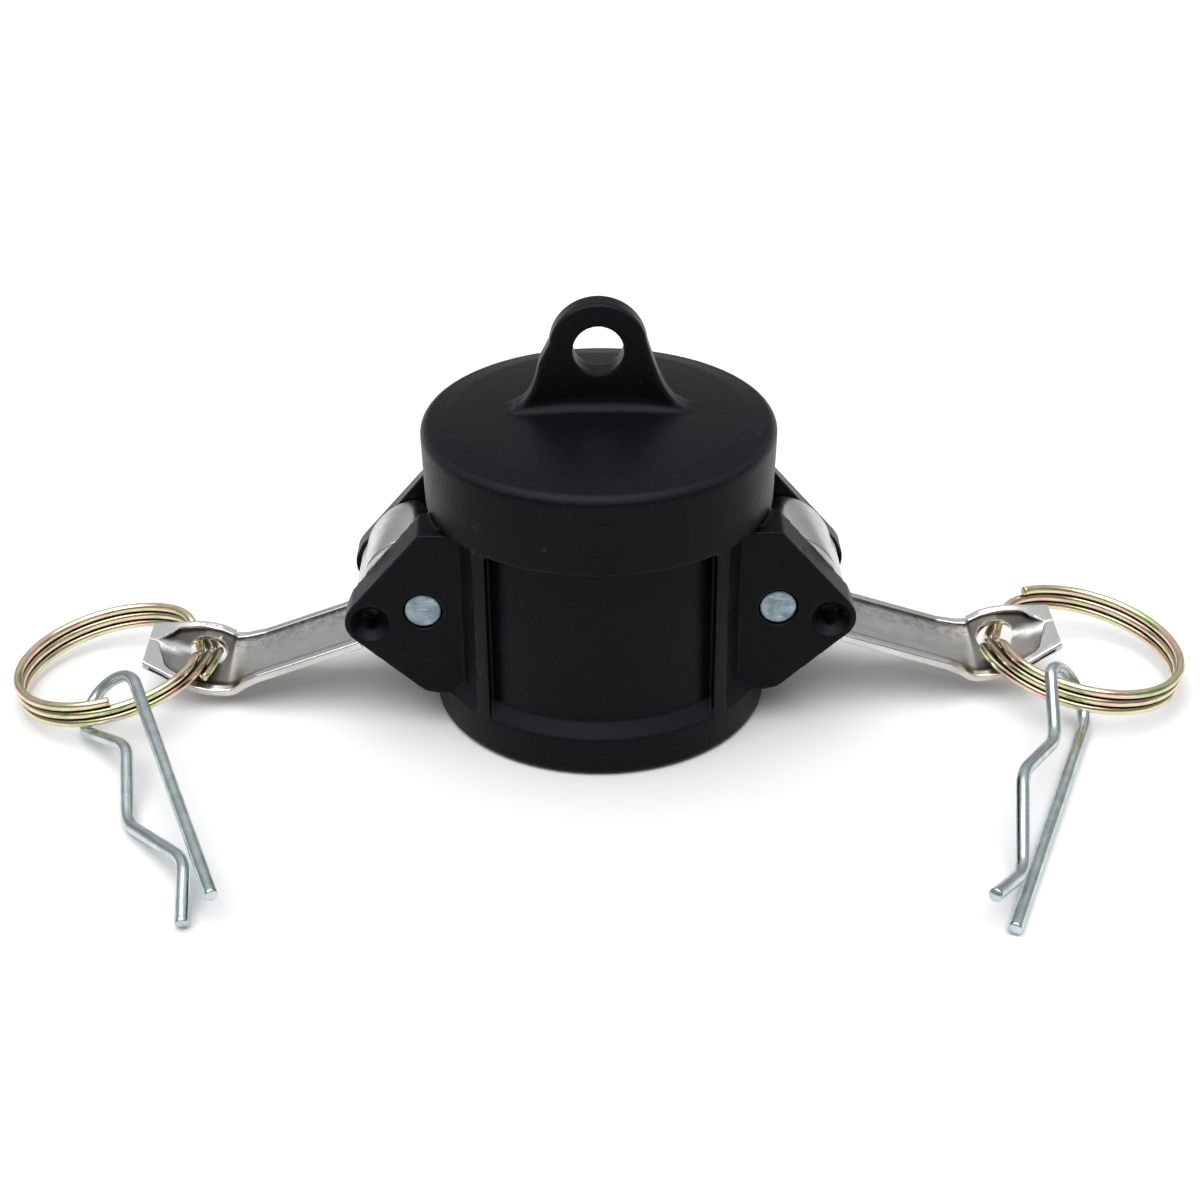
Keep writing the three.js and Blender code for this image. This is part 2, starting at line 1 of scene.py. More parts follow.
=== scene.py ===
"""Looks for the camlock dust cap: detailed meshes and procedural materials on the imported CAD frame.

Lengths below are in millimetres and are turned into metres by MM where a mesh is made. The part's frame has
its origin at the centre of the closed end's inner face, with +z up and the socket opening downwards.
"""

import json
import math

import bmesh
import bpy
import numpy as np
from mathutils import Matrix, Vector


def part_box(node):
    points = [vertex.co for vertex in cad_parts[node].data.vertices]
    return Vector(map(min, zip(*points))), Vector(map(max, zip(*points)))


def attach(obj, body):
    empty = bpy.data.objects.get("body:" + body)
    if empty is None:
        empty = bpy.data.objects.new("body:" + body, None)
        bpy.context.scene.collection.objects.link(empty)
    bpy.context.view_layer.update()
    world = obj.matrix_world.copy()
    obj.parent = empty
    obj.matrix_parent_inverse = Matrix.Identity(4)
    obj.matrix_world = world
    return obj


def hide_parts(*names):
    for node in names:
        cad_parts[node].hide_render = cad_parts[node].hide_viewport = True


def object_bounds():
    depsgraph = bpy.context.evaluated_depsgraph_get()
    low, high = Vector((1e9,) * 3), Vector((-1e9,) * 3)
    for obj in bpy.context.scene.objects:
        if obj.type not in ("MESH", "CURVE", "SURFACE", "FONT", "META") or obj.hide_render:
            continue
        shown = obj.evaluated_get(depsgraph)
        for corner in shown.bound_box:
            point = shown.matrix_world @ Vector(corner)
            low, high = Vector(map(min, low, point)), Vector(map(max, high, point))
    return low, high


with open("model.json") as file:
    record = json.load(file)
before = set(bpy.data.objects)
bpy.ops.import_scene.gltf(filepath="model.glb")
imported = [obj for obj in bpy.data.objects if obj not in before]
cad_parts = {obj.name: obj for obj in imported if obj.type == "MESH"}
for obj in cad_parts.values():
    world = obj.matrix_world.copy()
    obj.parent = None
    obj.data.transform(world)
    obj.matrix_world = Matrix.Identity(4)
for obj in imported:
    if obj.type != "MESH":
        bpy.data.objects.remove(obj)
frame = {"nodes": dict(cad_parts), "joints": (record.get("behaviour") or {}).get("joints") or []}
cad_low, cad_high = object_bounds()

MM = 0.001
MOUTH_Z = cad_low.z / MM

# The camera, worked out from the photograph's perspective: a point it looks at on the socket's axis, its
# distance from that point, and the angles it looks down, round and rolled by.
CAMERA_TARGET = Vector((0.0, 0.0, MOUTH_Z + 22.2))
CAMERA_DISTANCE = 455.4
CAMERA_DOWN = 0.5324
CAMERA_ROUND = 0.0075
CAMERA_ROLL = -0.0073
CAMERA_LENS = 60.2
CAMERA_SENSOR = 36.0
CAMERA_SEES_FROM = 10
CAMERA_SEES_TO = 50000

# Studio floor and light. The sky's numbers are its brightness in those directions.
FLOOR_HALF = 30000
SKY_COLOUR = (0.96, 0.98, 1.0)
SKY_HORIZON = 0.22
SKY_ZENITH = 0.95
SKY_CAMERA_SIDE = 0.35
SOFTBOX_ENERGY = 2.6
SOFTBOX_ANGLE = math.radians(70)
SOFTBOX_TURN = (math.radians(14), math.radians(-6), 0)

# Cap body
SHELL_SEGMENTS = 72
SHELL_MIN_R = 31.0
DOME_TOP = 71.0
DOME_R = 275.8
LUG_HALF_T = 2.9
LUG_FILLET = 3.2
LUG_FILLET_X = 19.0
LUG_FILLET_DEPTH = 1.5
VOXEL = 0.40
SMOOTHING_STEPS = 3
PARTING_LINE_WIDTH = 0.16

# The circles that ejector pins leave on the cap's front: x, height over the mouth, radius
EJECTOR_MARKS = [(0.0, 58.8, 3.9), (-43.3, 17.6, 3.3), (41.5, 41.5, 2.7)]
EJECTOR_MARK_CORE = 0.05
EJECTOR_MARK_EDGE = 0.28
EJECTOR_MARKS_BEFORE_Y = -12

# Gasket
GASKET_BORE_R = 25.4
GASKET_ROUNDING = 1.2

# Lever pins
PIN_CHAMFER = 0.45
PIN_CHAMFER_BULGE = 0.3
PIN_FACE_DIP = 0.05
PIN_CENTRE_DIP = 0.08

# Levers. The lever frame has its origin on the pin, s along the arm and n towards the arm's inner face.
HEAD_W = 18.3
CAM_R = 14.3
CAM_FROM = 32
CAM_TO = 94
CAM_EDGE = 0.7
HEEL_R = 15.8
HEEL_AT = 11
HUB_R = 8.0
HUB_FROM = -122
PIN_HOLE_R = 4.3
ARM_INNER_N = -5.73
ARM_T = 2.0
ARM_EDGE_R = 0.45
ARM_START_S = 18.3
ARM_ROOT_OVERLAP = 2
ARM_BEND_S = 51.0
ARM_BEND_R = 2.5
ARM_BEND_D = ARM_BEND_S - ARM_START_S
TIP_RISE = math.radians(36)
TIP_LENGTH = 19.4
TIP_TWIST = math.radians(19)
ARM_LENGTH = ARM_BEND_D + TIP_LENGTH - 0.25
RING_HOLE_R = 4.2
RING_HOLE_FROM_BEND = 5.85
RING_HOLE_SIDE = 1.9
HEM_SLOT = 0.5
HEM_SLOT_BOTTOM = -1.3
HEM_SLOT_DEPTH = 1.5
HEM_SLOT_LENGTH = 8.5
HEM_SLOT_END = ARM_LENGTH - 1.4
RIM_WALL = 0.55
CREASE_FROM_BEND = 8.5
SHAPED_FROM = ARM_BEND_D - 8
SHAPED_STEP = 0.4
TIP_CAP_LENGTH = 0.35
TIP_CAP_SCALE = 0.96

# The arm's shape at distances d from its root: half width, widths of the near and far rims, depth of the
# web, height and place of the crease that rises from the web, and how much of the tip's twist is reached
ARM_STATIONS = np.array([
    (0.0, 10.6, 1.4, 1.4, 0.6, 0.0, 0.0, 0.0),
    (ARM_BEND_D - 7, 10.6, 1.4, 1.4, 0.6, 0.0, 0.0, 0.0),
    (ARM_BEND_D - 3, 9.9, 1.4, 1.4, 0.6, 0.0, 0.0, 0.3),
    (ARM_BEND_D - 1, 9.6, 1.4, 1.4, 0.6, 0.0, 0.0, 0.6),
    (ARM_BEND_D + 1, 9.7, 1.4, 1.4, 0.6, 0.0, 0.0, 0.85),
    (ARM_BEND_D + 4, 10.0, 1.4, 1.4, 0.6, 0.0, 0.0, 1.0),
    (ARM_BEND_D + 7, 10.0, 1.3, 1.4, 0.75, 0.1, 0.8, 1.0),
    (ARM_BEND_D + 10, 9.4, 1.2, 1.4, 1.0, 0.7, 1.0, 1.0),
    (ARM_BEND_D + 13.4, 8.6, 1.4, 1.6, 1.0, 0.9, 1.1, 0.83),
    (ARM_BEND_D + 14.7, 8.2, 1.9, 3.0, 0.85, 0.75, 1.15, 0.75),
    (ARM_BEND_D + 17.4, 7.6, 7.65, 5.35, 0.06, 0.03, 1.15, 0.6),
    (ARM_LENGTH, 7.2, 7.3, 5.0, 0.05, 0.02, 1.15, 0.5),
])

# Where wear and painted light show on a lever: from this distance along the arm, below this height over its
# inner face, and on points that are within this reach of a surface. The cam is evenly polished.
MARK_FROM_D = 2.5
MARK_BELOW = 1.0
MARK_REACH = 0.1
CAM_POLISH = 0.35

# Split rings. Angles are in degrees round the coil from its point nearest the cap, positive towards +y.
RING_R = 21.6
RING_WIRE_R = 1.0
RING_PITCH = 2.15
RING_TURNS = 2.83
RING_TILT = math.radians(9)
RING_NEST_AT = 8
RING_NEST_WIDTH = 24
RING_NEST_SHIFT = 0.4
RING_DIP = 3.9
RING_DIP_AT = 18
RING_DIP_WIDTH = 18
RING_STEPS = 520
RING_SIDES = 18
RING_END_CHAMFER = 0.12

# Safety clips. The waved leg is given by its corners: distance along the straight leg, then away from it.
CLIP_WIRE_R = 1.4
CLIP_LEG = 72.0
CLIP_BOW_R = 7.8
CLIP_CORNER_ROUNDING = 3.5
CLIP_WAVE = [(57.0, 7.2), (36.2, 13.0), (14.2, 3.1), (0.0, 8.3)]
CLIP_STEPS = 300
CLIP_SIDES = 20
CLIP_END_CHAMFER = 0.2

SIDES = [
    {
        "name": "left",
        "outward": -1,
        "open_slope": math.radians(20),
        "ring_centre": Vector((-111.5, -1.8, MOUTH_Z + 7.8)),
        "ring_start": math.radians(-80),
        "clip_end": Vector((-76.4, -85.6, MOUTH_Z + 7.2)),
        "clip_along": Vector((-0.37, 0.93, 0.085)),
        "clip_across": Vector((-0.74, -0.23, -0.67)),
    },
    {
        "name": "right",
        "outward": 1,
        "open_slope": math.radians(18),
        "ring_centre": Vector((111.1, -2.0, MOUTH_Z + 9.0)),
        "ring_start": math.radians(122),
        "clip_end": Vector((79.0, -91.8, MOUTH_Z + 1.6)),
        "clip_along": Vector((0.38, 0.92, 0.01)),
        "clip_across": Vector((-0.50, 0.20, 0.84)),
    },
]


# ---------------------------------------------------------------- mesh helpers

def joint_position(name):
    """A joint's point, in millimetres."""
    joint = next(j for j in frame["joints"] if j["name"] == name)
    return Vector(joint["pos_m"]) / MM


def smoothstep(low, high, value):
    """0 up to low and 1 from high, with a soft rise between them."""
    t = np.clip((np.asarray(value, float) - low) / (high - low), 0.0, 1.0)
    return t * t * (3.0 - 2.0 * t)


def add_object(name, mesh):
    made = bpy.data.objects.new(name, mesh)
    bpy.context.scene.collection.objects.link(made)
    return made


def mesh_from(name, points, faces):
    """A mesh from points in millimetres."""
    mesh = bpy.data.meshes.new(name)
    mesh.from_pydata([Vector(p) * MM for p in points], [], faces)
    mesh.validate()
    return mesh


def baked(made):
    """Applies the object's modifiers to its mesh."""
    depsgraph = bpy.context.evaluated_depsgraph_get()
    mesh = bpy.data.meshes.new_from_object(made.evaluated_get(depsgraph))
    made.modifiers.clear()
    made.data = mesh
    return made


def smooth_shaded(made, sharp_above=None):
    """Shades smoothly, keeping edges sharper than the given angle in degrees."""
    for polygon in made.data.polygons:
        polygon.use_smooth = True
    if sharp_above is not None:
        made.data.set_sharp_from_angle(angle=math.radians(sharp_above))
    return made


def finished(made, node, body, materials):
    """Gives a piece its materials and puts it in place of a CAD node."""
    made.data.materials.clear()
    for material in materials:
        made.data.materials.append(material)
    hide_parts(node)
    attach(made, body)
    return made


def vertex_rows(made, key):
    """One vector of every vertex, such as co or normal, as the rows of an array."""
    rows = np.empty(len(made.data.vertices) * 3)
    made.data.vertices.foreach_get(key, rows)
    return rows.reshape(-1, 3)


def store(made, name, values):
    """Stores a value from 0 to 1 on each vertex, for the material to read."""
    layer = made.data.attributes.new(name, "FLOAT", "POINT")
    layer.data.foreach_set("value", np.asarray(values, np.float32))


def arc(centre, radius, start, end, steps):
    """Points on an arc in a plane; the angles are in degrees."""
    angles = np.radians(np.linspace(start, end, steps + 1))
    return [(centre[0] + radius * math.cos(a), centre[1] + radius * math.sin(a)) for a in angles]


def straight(start, end, steps):
    """Points in a plane in equal steps from start, which is left out, to end."""
    return [tuple(a + (b - a) * k / steps for a, b in zip(start, end)) for k in range(1, steps + 1)]


def bezier(start, first, second, end, steps):
    """Points on a cubic curve in a plane, without its start."""
    points = []
    for i in range(1, steps + 1):
        t = i / steps
        weights = ((1 - t) ** 3, 3 * t * (1 - t) ** 2, 3 * t * t * (1 - t), t ** 3)
        points.append(tuple(
            sum(w * p[k] for w, p in zip(weights, (start, first, second, end))) for k in (0, 1)
        ))
    return points


def lathe(name, profile, centre, axis, segments):
    """A closed solid turned from a profile of (radius, height) round an axis through centre."""
    spin = Vector((0, 0, 1)).rotation_difference(Vector(axis)).to_matrix()
    points = []
    for k in range(segments):
        angle = 2 * math.pi * k / segments
        for radius, height in profile:
            turned = Vector((radius * math.cos(angle), radius * math.sin(angle), height))
            points.append(centre + spin @ turned)
    count = len(profile)
    faces = []
    for k in range(segments):
        after = (k + 1) % segments
        for i in range(count):
            j = (i + 1) % count
            faces.append((k * count + i, k * count + j, after * count + j, after * count + i))
    return outward_normals(add_object(name, mesh_from(name, points, faces)), merge_below=1e-7)


def loft(outlines):
    """Points and faces of a solid through outlines with equal numbers of points."""
    count = len(outlines[0])
    points = [p for outline in outlines for p in outline]
    faces = [tuple(reversed(range(count)))]
    for k in range(len(outlines) - 1):
        for i in range(count):
            j = (i + 1) % count
            faces.append((k * count + i, k * count + j, (k + 1) * count + j, (k + 1) * count + i))
    faces.append(tuple((len(outlines) - 1) * count + i for i in range(count)))
    return points, faces


def outward_normals(made, merge_below=None):
    """Turns every face outwards, after merging points closer than a distance in metres."""
    shape = bmesh.new()
    shape.from_mesh(made.data)
    if merge_below is not None:
        bmesh.ops.remove_doubles(shape, verts=shape.verts, dist=merge_below)
    bmesh.ops.recalc_face_normals(shape, faces=shape.faces)
    shape.to_mesh(made.data)
    shape.free()
    return made


def joined(made, other):
    """Adds another solid's mesh to this one, then removes the other."""
    shape = bmesh.new()
    shape.from_mesh(made.data)
    shape.from_mesh(other.data)
    shape.to_mesh(made.data)
    shape.free()
    bpy.data.objects.remove(other)
    return made


def combine(made, other, operation):
    """Joins another solid to this one or cuts it away, then removes the other."""
    modifier = made.modifiers.new("combine", "BOOLEAN")
    modifier.operation = operation
    modifier.solver = "EXACT"
    modifier.object = other
    baked(made)
    bpy.data.objects.remove(other)
    return made


def wire_rings(path, radius, steps, chamfer):
    """Rings along a wire with chamfered ends: centre, two directions across, radius and length so far."""
    centres = np.array([path(i / steps) for i in range(steps + 1)])
    lengths = np.concatenate([[0.0], np.cumsum(np.linalg.norm(np.diff(centres, axis=0), axis=1))])
    tangents = np.gradient(centres, lengths, axis=0)
    tangents /= np.linalg.norm(tangents, axis=1)[:, None]
    normal = np.cross(tangents[0], (0.31, 0.17, 0.93))
    rings = []
    for centre, tangent, length in zip(centres, tangents, lengths):
        normal = normal - tangent * (normal @ tangent)
        normal /= np.linalg.norm(normal)
        rings.append((centre, normal.copy(), np.cross(tangent, normal), radius, length))
    first, last = rings[0], rings[-1]
    end = radius - chamfer
    rings.insert(0, (first[0] - tangents[0] * chamfer, first[1], first[2], end, -chamfer))
    rings.append((last[0] + tangents[-1] * chamfer, last[1], last[2], end, lengths[-1] + chamfer))
    return rings


def unwrap_wire(mesh, sides, around, lengths):
    """UVs that run round the wire, by around for each side, and along it by the rings' lengths."""
    layer = mesh.uv_layers.new(name="wire")
    for polygon in mesh.polygons:
        columns = [mesh.loops[k].vertex_index % sides for k in polygon.loop_indices]
        wraps = max(columns) - min(columns) > sides // 2
        for k, column in zip(polygon.loop_indices, columns):
            row = mesh.loops[k].vertex_index // sides
            unwrapped = column + sides if wraps and column < sides // 2 else column
            layer.data[k].uv = (unwrapped * around, lengths[row])


def tube(name, path, radius, steps, sides, chamfer):
    """A round wire along path(t), t running from 0 to 1. Its cut ends have the second material."""
    rings = wire_rings(path, radius, steps, chamfer)
    angles = np.linspace(0, 2 * math.pi, sides, endpoint=False)
    outlines = [
        [tuple(centre + size * (math.cos(a) * u + math.sin(a) * v)) for a in angles]
        for centre, u, v, size, _ in rings
    ]
    points, faces = loft(outlines)
    mesh = mesh_from(name, points, faces)
    unwrap_wire(mesh, sides, 2 * math.pi * radius * MM / sides, [ring[4] * MM for ring in rings])
    made = outward_normals(add_object(name, mesh))
    for polygon in made.data.polygons:
        polygon.material_index = 1 if len(polygon.vertices) > 4 else 0
    return smooth_shaded(made, 50)


# ---------------------------------------------------------------- cap body

def lug_fillet():
    """The soft fillet where the lug's two faces run down into the dome."""
    outlines = []
    for x in np.linspace(-LUG_FILLET_X, LUG_FILLET_X, 25):
        size = LUG_FILLET * math.sqrt(max(1.0 - (x / LUG_FILLET_X) ** 2, 0.004))
        ground = MOUTH_Z + DOME_TOP - x * x / (2 * DOME_R)
        back = arc((LUG_HALF_T + size, ground + size), size, 180, 270, 8)
        front = [(-y, z) for y, z in reversed(back)]
        sunk = ground - LUG_FILLET_DEPTH
        foot = [(LUG_HALF_T + size, sunk), (-LUG_HALF_T - size, sunk)]
        outlines.append([Vector((x, y, z)) for y, z in (*front, *back, *foot)])
    points, faces = loft(outlines)
    return outward_normals(add_object("fillet", mesh_from("fillet", points, faces)))


def true_round(made):
    """Moves the shell's faceted cylinders out to true cylinders."""
    places = vertex_rows(made, "co")
    normals = vertex_rows(made, "normal")
    radius = np.hypot(places[:, 0], places[:, 1])
    facing = np.abs((normals[:, :2] * places[:, :2]).sum(1)) / np.maximum(radius, MM)
    step = 2 * math.pi / SHELL_SEGMENTS
    from_facet_centre = np.arctan2(places[:, 1], places[:, 0]) % step - step / 2
    grow = np.cos(from_facet_centre) / math.cos(step / 2)
    on_cylinder = (radius > SHELL_MIN_R * MM) & (facing > 0.9)
    places[:, :2] *= np.where(on_cylinder, grow, 1.0)[:, None]
    made.data.vertices.foreach_set("co", places.ravel())
    made.data.update()
    return made


def cap_moulding():
    """The moulded cap: the CAD solid remeshed finely, so that every edge has a small moulded radius."""
    mesh = frame["nodes"]["cap_body"].data.copy()
    made = joined(add_object("cap_moulding", mesh), lug_fillet())
    weld = made.modifiers.new("weld", "WELD")
    weld.merge_threshold = 1e-6
    remesh = made.modifiers.new("remesh", "REMESH")
    remesh.mode = "VOXEL"
    remesh.voxel_size = VOXEL * MM
    soften = made.modifiers.new("soften", "SMOOTH")
    soften.factor = 0.5
    soften.iterations = SMOOTHING_STEPS
    return smooth_shaded(true_round(baked(made)))


def gasket_ring():
    low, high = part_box("gasket")
    outer = high.x / MM
    bottom = low.z / MM
    top = high.z / MM
    r = GASKET_ROUNDING
    profile = [
        *arc((outer - r, bottom + r), r, -90, 0, 6),
        *arc((outer - r, top - r), r, 0, 90, 6),
        *arc((GASKET_BORE_R + r, top - r), r, 90, 180, 6),
        *arc((GASKET_BORE_R + r, bottom + r), r, 180, 270, 6),
    ]
    return smooth_shaded(lathe("gasket_ring", profile, Vector((0, 0, 0)), (0, 0, 1), 160), 50)


def lever_pin(side):
    node = f"lever_pin_{side['name']}"
    low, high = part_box(node)
    centre = (low + high) / 2 / MM
    half = (high.y - low.y) / 2 / MM
    radius = (high.x - low.x) / 2 / MM
    bulge = PIN_CHAMFER * PIN_CHAMFER_BULGE
    end = [
        (radius, half - PIN_CHAMFER),
        (radius - bulge, half - bulge),
        (radius - PIN_CHAMFER, half),
        (radius * 0.5, half - PIN_FACE_DIP),
        (0, half - PIN_CENTRE_DIP),
    ]
    profile = [*[(r, -h) for r, h in reversed(end)], *end]
    made = lathe(f"pin_{side['name']}", profile, centre, (0, 1, 0), 72)
    return smooth_shaded(made, 25)


# ---------------------------------------------------------------- levers

def lever_point(side, s, y, n):
    """A point of the lever frame in the part's frame."""
    pin = joint_position(f"{side['name']}_lever_pivot")
    cos, sin = math.cos(side["open_slope"]), math.sin(side["open_slope"])
    return Vector((pin.x + side["outward"] * (cos * s + sin * n), y, pin.z - sin * s + cos * n))


def arm_at(d):
    """The arm's inner centreline at distance d from its root: s, n and the arm's angle."""
    lead = ARM_BEND_D - ARM_BEND_R * math.tan(TIP_RISE / 2)
    if d <= lead:
        return ARM_START_S + d, ARM_INNER_N, 0.0
    angle = min((d - lead) / ARM_BEND_R, TIP_RISE)
    beyond = max(d - lead - ARM_BEND_R * TIP_RISE, 0.0)
    s = ARM_START_S + lead + ARM_BEND_R * math.sin(angle) + beyond * math.cos(angle)
    n = ARM_INNER_N + ARM_BEND_R * (1 - math.cos(angle)) + beyond * math.sin(angle)
    return s, n, angle


def station_at(d):
    return [np.interp(d, ARM_STATIONS[:, 0], ARM_STATIONS[:, k]) for k in range(1, 8)]


def rim_feet(half_width, near_rim, far_rim):
    """Where the far and near rims' walls reach the web, as distances across the arm."""
    inner_edge = half_width - ARM_EDGE_R
    return inner_edge - far_rim - RIM_WALL, -(inner_edge - near_rim - RIM_WALL)


def arm_section(half_width, near_rim, far_rim, web, crest, crest_at):
    """The arm's cross-section: raised rims with rounded edges beside a shallow web with a crease."""
    r = ARM_EDGE_R
    inner_edge = half_width - r
    far_foot, near_foot = rim_feet(half_width, near_rim, far_rim)
    crease = (crest_at, crest - web)
    falls = [-web * float(smoothstep(0, 1, k / 5)) for k in range(6)]
    return [
        (half_width * 0.5, -ARM_T),
        *arc((inner_edge, r - ARM_T), r, -90, 0, 4),
        *arc((inner_edge, -r), r, 0, 90, 4),
        *straight((inner_edge, 0.0), (inner_edge - far_rim, 0.0), 4),
        *[(far_foot + RIM_WALL * (1 - k / 5), falls[k]) for k in range(1, 6)],
        *straight((far_foot, -web), crease, 5),
        *straight(crease, (near_foot, -web), 5),
        *[(near_foot - RIM_WALL * k / 5, falls[5 - k]) for k in range(1, 6)],
        *straight((near_foot - RIM_WALL, 0.0), (-inner_edge, 0.0), 4),
        *arc((-inner_edge, -r), r, 90, 180, 4)[1:],
        *arc((-inner_edge, r - ARM_T), r, 180, 270, 4),
        (-half_width * 0.5, -ARM_T),
    ]


def arm_point(side, d, across, up, twist):
    s, n, angle = arm_at(d)
    y = across * math.cos(twist) - up * math.sin(twist)
    height = across * math.sin(twist) + up * math.cos(twist)
    return lever_point(side, s - height * math.sin(angle), y, n + height * math.cos(angle))


def arm_solid(side):
    plain = np.linspace(0.0, SHAPED_FROM, 24)
    shaped = np.arange(SHAPED_FROM + SHAPED_STEP, ARM_LENGTH - 0.5, SHAPED_STEP)
    outlines = []
    for d in [*plain, *shaped, ARM_LENGTH - 0.3, ARM_LENGTH]:
        *shape, twist = station_at(d)
        section = arm_section(*shape)
        outlines.append([arm_point(side, d, across, up, twist * TIP_TWIST) for across, up in section])
    tip = outlines[-1]
    middle, before = (sum(outline, Vector()) / len(outline) for outline in (tip, outlines[-3]))
    beyond = (middle - before).normalized() * TIP_CAP_LENGTH
    outlines.append([middle + (p - middle) * TIP_CAP_SCALE + beyond for p in tip])
    points, faces = loft(outlines)
    return outward_normals(add_object("arm", mesh_from("arm", points, faces)))


def cam_outline():
    """The cam in the lever frame: hub, arm root, heel, eccentric lobe and the flat that faces the bore."""
    def on_circle(radius, degrees):
        return radius * math.cos(math.radians(degrees)), radius * math.sin(math.radians(degrees))

    root_outer = (ARM_START_S + ARM_ROOT_OVERLAP, ARM_INNER_N - ARM_T)
    root_inner = (ARM_START_S + ARM_ROOT_OVERLAP, ARM_INNER_N)
    heel = on_circle(HEEL_R, HEEL_AT)
    lobe_start = on_circle(CAM_R, CAM_FROM)
    lobe_end = on_circle(CAM_R, CAM_TO)
    return [
        *arc((0, 0), HUB_R, HUB_FROM, -90, 8),
        root_outer,
        root_inner,
        *bezier(root_inner, (16.4, -5.2), (16.0, -1.0), heel, 10),
        *bezier(heel, (15.0, 4.6), (14.2, 6.0), lobe_start, 6),
        *arc((0, 0), CAM_R, CAM_FROM + 3, CAM_TO, 20),
        *bezier(lobe_end, (-2.6, 14.1), (-3.4, 13.2), (-3.8, 11.9), 6),
        (-7.2, 1.6),
    ]


def cam_solid(side):
    outline = cam_outline()
    both_faces = [[lever_point(side, s, y, n) for s, n in outline] for y in (-HEAD_W / 2, HEAD_W / 2)]
    points, faces = loft(both_faces)
    made = outward_normals(add_object("cam", mesh_from("cam", points, faces)))
    bevel = made.modifiers.new("bevel", "BEVEL")
    bevel.width = CAM_EDGE * MM
    bevel.segments = 3
    bevel.limit_method = "ANGLE"
    bevel.angle_limit = math.radians(50)
    return baked(made)


def rod(centre, axis, radius, half_length):
    profile = [(0, -half_length), (radius, -half_length), (radius, half_length), (0, half_length)]
    return lathe("rod", profile, centre, axis, 64)


def ring_hole(side):
    d = ARM_BEND_D + RING_HOLE_FROM_BEND
    centre = arm_point(side, d, RING_HOLE_SIDE, -ARM_T / 2, TIP_TWIST)
    above = arm_point(side, d, RING_HOLE_SIDE, ARM_T, TIP_TWIST)
    return rod(centre, (above - centre).normalized(), RING_HOLE_R, 6)


def hem_slot(side, edge):
    """The slot along one edge of the tip, between the two layers where the sheet is folded back."""
    low, high = HEM_SLOT_BOTTOM, HEM_SLOT_BOTTOM + HEM_SLOT
    outlines = []
    for d in np.linspace(HEM_SLOT_END - HEM_SLOT_LENGTH, HEM_SLOT_END, 12):
        half_width, *_, twist = station_at(d)
        inner, outer = half_width - HEM_SLOT_DEPTH, half_width + 1
        turn = twist * TIP_TWIST
        corners = [(inner, low), (outer, low), (outer, high), (inner, high)]
        outlines.append([arm_point(side, d, edge * across, up, turn) for across, up in corners])
    points, faces = loft(outlines)
    return outward_normals(add_object("slot", mesh_from("slot", points, faces)))


def arm_places(made, side):
    """Every vertex as the arm sees it: distance along it, across it, and above its inner face."""
    places = vertex_rows(made, "co") / MM
    distances = np.linspace(0, ARM_LENGTH, 400)
    line = np.array([arm_point(side, d, 0, 0, 0) for d in distances])
    above = np.array([arm_point(side, d, 0, 1, 0) for d in distances]) - line
    side_view = np.array([1.0, 0.0, 1.0])
    nearest = np.array([np.argmin((((line - p) * side_view) ** 2).sum(1)) for p in places])
    offset = places - line[nearest]
    up = (offset * above[nearest]).sum(1)
    y = offset[:, 1]
    d = distances[nearest]
    twist = station_at(d)[-1] * TIP_TWIST
    return d, y * np.cos(twist) + up * np.sin(twist), up * np.cos(twist) - y * np.sin(twist)


def in_hem_slot(d, across, height, half_width):
    along = (d > HEM_SLOT_END - HEM_SLOT_LENGTH) & (d < HEM_SLOT_END)
    between = np.abs(height - HEM_SLOT_BOTTOM - HEM_SLOT / 2) < HEM_SLOT / 2 + 0.06
    return along & between & (np.abs(across) > half_width - HEM_SLOT_DEPTH - MARK_REACH)


def mark_wear_and_painted_light(made, side):
    """Stores the arm's polished and painted-bright places, its painted shade and its dull band, as values
    from 0 to 1 on its vertices.

    Rims and flat tip: polished, with a painted highlight. Crease: a painted highlight. Foot of each rim's
    wall and the slots: painted shade.
    scale: the rough half of the straight web. Dished web round the ring's hole: painted shade.
    """
    d, across, height = arm_places(made, side)
    half_width, near_rim, far_rim, web, _, crest_at, _ = station_at(d)
    far_foot, near_foot = rim_feet(half_width, near_rim, far_rim)
    on_arm = (d > MARK_FROM_D) & (height < MARK_BELOW)
    on_top = on_arm & (height > -web - 3 * MARK_REACH)
    in_web = on_top & (across < far_foot + 2 * MARK_REACH) & (across > near_foot - 2 * MARK_REACH)
    past_bend = d > ARM_BEND_D + CREASE_FROM_BEND
    crease_highlight = past_bend & (np.abs(across - crest_at) < MARK_REACH) & (height > -web - MARK_REACH)
    # Painted highlight along the crease; the rims' tops get polishing with a painted highlight.
    polish_and_highlight = np.where(crease_highlight, 1.0, smoothstep(-0.45, -0.12, height))
    from_far_foot = np.abs(across - far_foot - MARK_REACH)
    from_near_foot = np.abs(across - near_foot + MARK_REACH)
    by_foot = 1 - smoothstep(0.1, 0.5, np.minimum(from_far_foot, from_near_foot))
    # Painted shade at the foot of each rim's wall.
    foot = np.where(on_top, by_foot * smoothstep(0.1, 0.5, web), 0.0)
    rough = np.where(in_web & (d < ARM_BEND_D), smoothstep(0.5, 4.0, across), 0.0)
    # Painted shade over the dished web round the ring's hole.
    dished = np.where(in_web, smoothstep(ARM_BEND_D - 0.2, ARM_BEND_D + 0.6, d), 0.0)
    store(made, "polish_and_highlight", np.where(on_arm, polish_and_highlight, CAM_POLISH))
    # Painted shade in the hem slots and at the rim feet.
    store(made, "groove_shade", np.where(in_hem_slot(d, across, height, half_width), 1.0, foot))
    store(made, "scale", rough)
    store(made, "painted_bowl_shade", dished)
    return made


